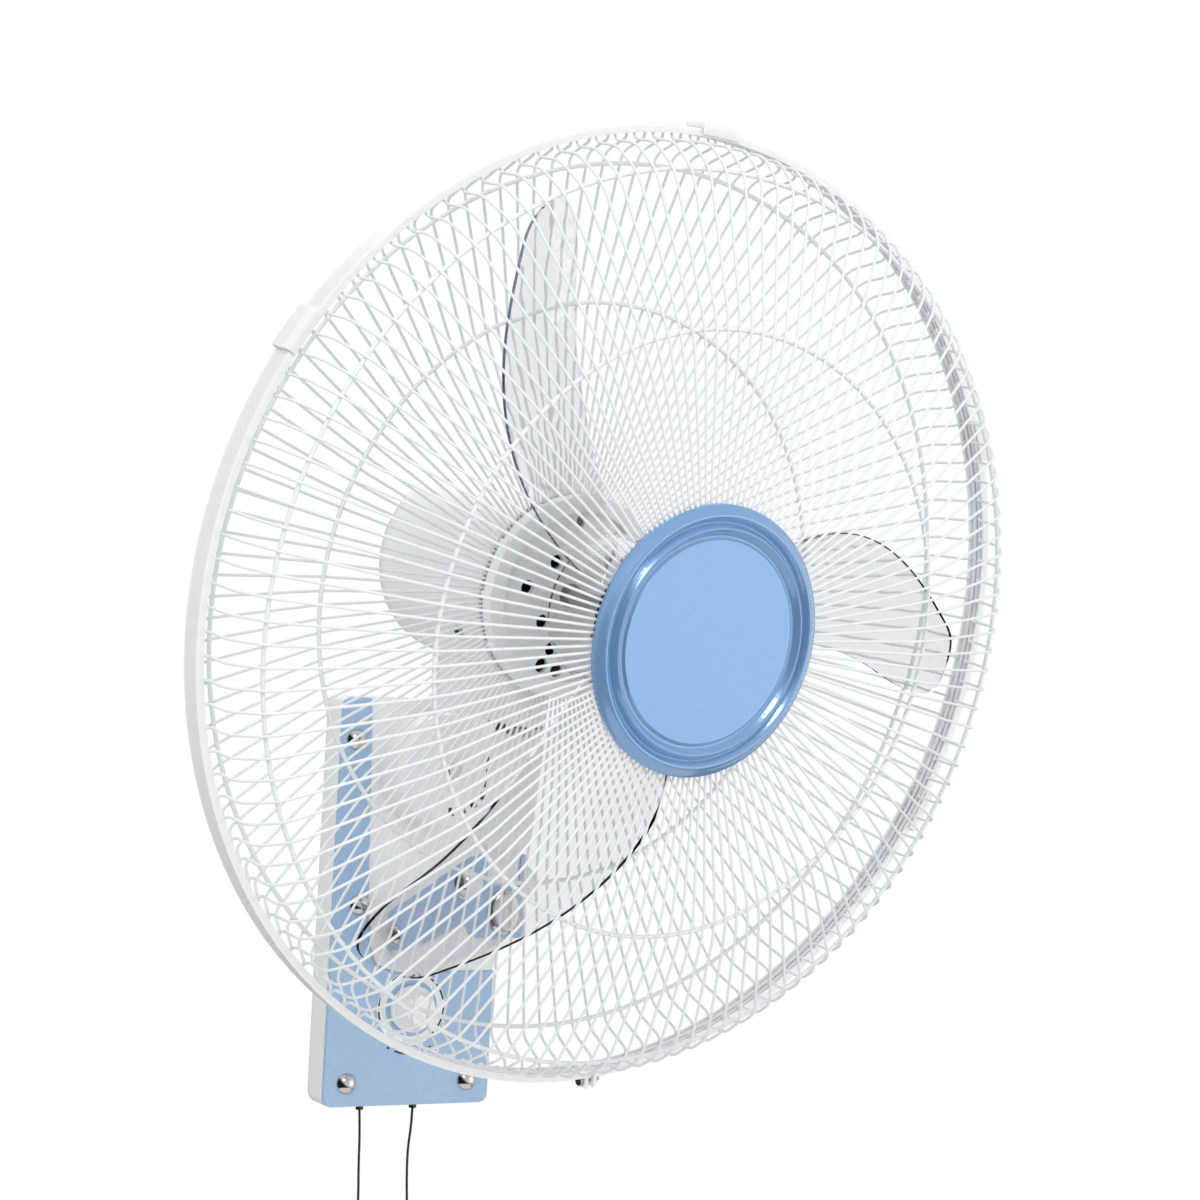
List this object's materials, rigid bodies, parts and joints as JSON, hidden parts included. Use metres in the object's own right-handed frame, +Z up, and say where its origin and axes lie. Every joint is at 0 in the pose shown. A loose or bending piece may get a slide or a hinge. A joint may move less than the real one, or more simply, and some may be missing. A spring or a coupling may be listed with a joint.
{
  "type": "wall mounted oscillating fan",
  "caption": "Wall mounted fan with a round wire guard and clear blades on a tilting and swinging head, carried by an arm on an upright switch box with a knob and pull cords.",
  "frame": {"origin": "middle of the wall bracket's screw pattern, on the wall plane", "axes": "+X to the right of someone who faces the fan, -Y out of the wall the way the fan blows, +Z up"},
  "size_m": [0.4457, 0.3027, 0.6406],
  "materials": {
    "white_plastic": "moulded ABS, semi-gloss",
    "blue_plastic": "moulded ABS, pale pearl blue",
    "clear_plastic": "clear moulded AS plastic",
    "white_wire": "white powder coat on steel wire",
    "chrome": "bright chrome plating",
    "steel": "zinc plated steel",
    "laminated_steel": "stacked electrical sheet",
    "zinc_can": "drawn zinc plated can",
    "copper_winding": "enamelled copper wire",
    "brass": "turned brass",
    "pale_bush": "acetal bush",
    "black_plastic": "black moulded plastic",
    "black_rubber": "soft grommet",
    "dark_cord": "braided dark cord"
  },
  "bodies": {
    "wall_box": {"wall_bracket": "steel", "base_back_cover": "white_plastic", "base_housing": "white_plastic", "front_panel": "blue_plastic", "panel_screws": "chrome", "coil_housing": "white_plastic", "coil_screw": "chrome", "speed_coil": "copper_winding", "terminal_block": "black_plastic", "capacitor": "black_plastic", "cable_inlet": "black_rubber", "timer_case": "black_plastic", "timer_nut": "steel", "dial_ring": "white_plastic", "pull_switches": "black_plastic", "arm": "white_plastic", "arm_cover": "blue_plastic", "arm_root_screws": "chrome", "tilt_bolt": "chrome", "nose_cap": "chrome", "arm_foot_screws": "steel"},
    "knob": {"timer_spindle": "steel", "control_knob": "white_plastic"},
    "left_pull": {"pull_stem_left": "black_plastic", "pull_cord_left": "dark_cord", "cord_pull_left": "white_plastic"},
    "right_pull": {"pull_stem_right": "black_plastic", "pull_cord_right": "dark_cord", "cord_pull_right": "white_plastic"},
    "tilting_neck": {"neck": "white_plastic", "pan_bush": "pale_bush", "swing_yoke": "steel"},
    "swinging_head": {"motor_front_cover": "white_plastic", "motor_rear_housing": "white_plastic", "housing_screws": "steel", "stator_core": "laminated_steel", "stator_windings": "copper_winding", "motor_bolts": "steel", "motor_bearings": "steel", "pan_post": "steel", "post_circlip": "steel", "swing_motor": "zinc_can", "swing_cover": "white_plastic", "guard_ring_nut": "white_plastic", "rear_guard_wires": "white_wire", "rear_guard_rings": "white_wire", "guard_belt": "white_plastic", "belt_clips": "white_plastic", "belt_clamp_screw": "steel", "front_guard_wires": "white_wire", "front_guard_rings": "white_wire", "badge": "blue_plastic", "badge_plate": "white_plastic", "badge_screws": "steel"},
    "rotor": {"motor_shaft": "steel", "rotor_core": "laminated_steel", "drive_pin": "steel", "fan_blade": "clear_plastic", "blade_nut": "white_plastic"},
    "crank": {"swing_crank": "steel"}
  },
  "joints": [
    {"name": "neck_tilt", "type": "hinge", "parent": "wall_box", "child": "tilting_neck", "pos_m": [0, -0.1175, -0.015], "axis": [1, 0, 0], "range_deg": [-14, 16]},
    {"name": "head_swing", "type": "hinge", "parent": "tilting_neck", "child": "swinging_head", "pos_m": [0, -0.14664, 0.1321], "axis": [0, -0.1668, 0.986], "range_deg": [-43, 27]},
    {"name": "fan_spin", "type": "hinge", "parent": "swinging_head", "child": "rotor", "pos_m": [0.01056, -0.21387, 0.12073], "axis": [-0.153, 0.9744, 0.1648], "continuous": true},
    {"name": "crank_spin", "type": "hinge", "parent": "swinging_head", "child": "crank", "pos_m": [-0.00459, -0.11741, 0.13705], "axis": [0, -0.1668, 0.986], "range_deg": [-80, 126]},
    {"name": "knob_turn", "type": "hinge", "parent": "wall_box", "child": "knob", "pos_m": [0, -0.03, -0.0895], "axis": [0, 1, 0], "range_deg": [0, 300]},
    {"name": "left_pull_slide", "type": "slide", "parent": "wall_box", "child": "left_pull", "axis": [0, 0, -1], "range_m": [0, 0.008], "stiffness_N_per_m": 400, "springref_m": -0.004},
    {"name": "right_pull_slide", "type": "slide", "parent": "wall_box", "child": "right_pull", "axis": [0, 0, -1], "range_m": [0, 0.008], "stiffness_N_per_m": 400, "springref_m": -0.004}
  ],
  "couplings": [
    {"joint": "crank_spin", "follows": "head_swing", "ratio": -2.9}
  ]
}
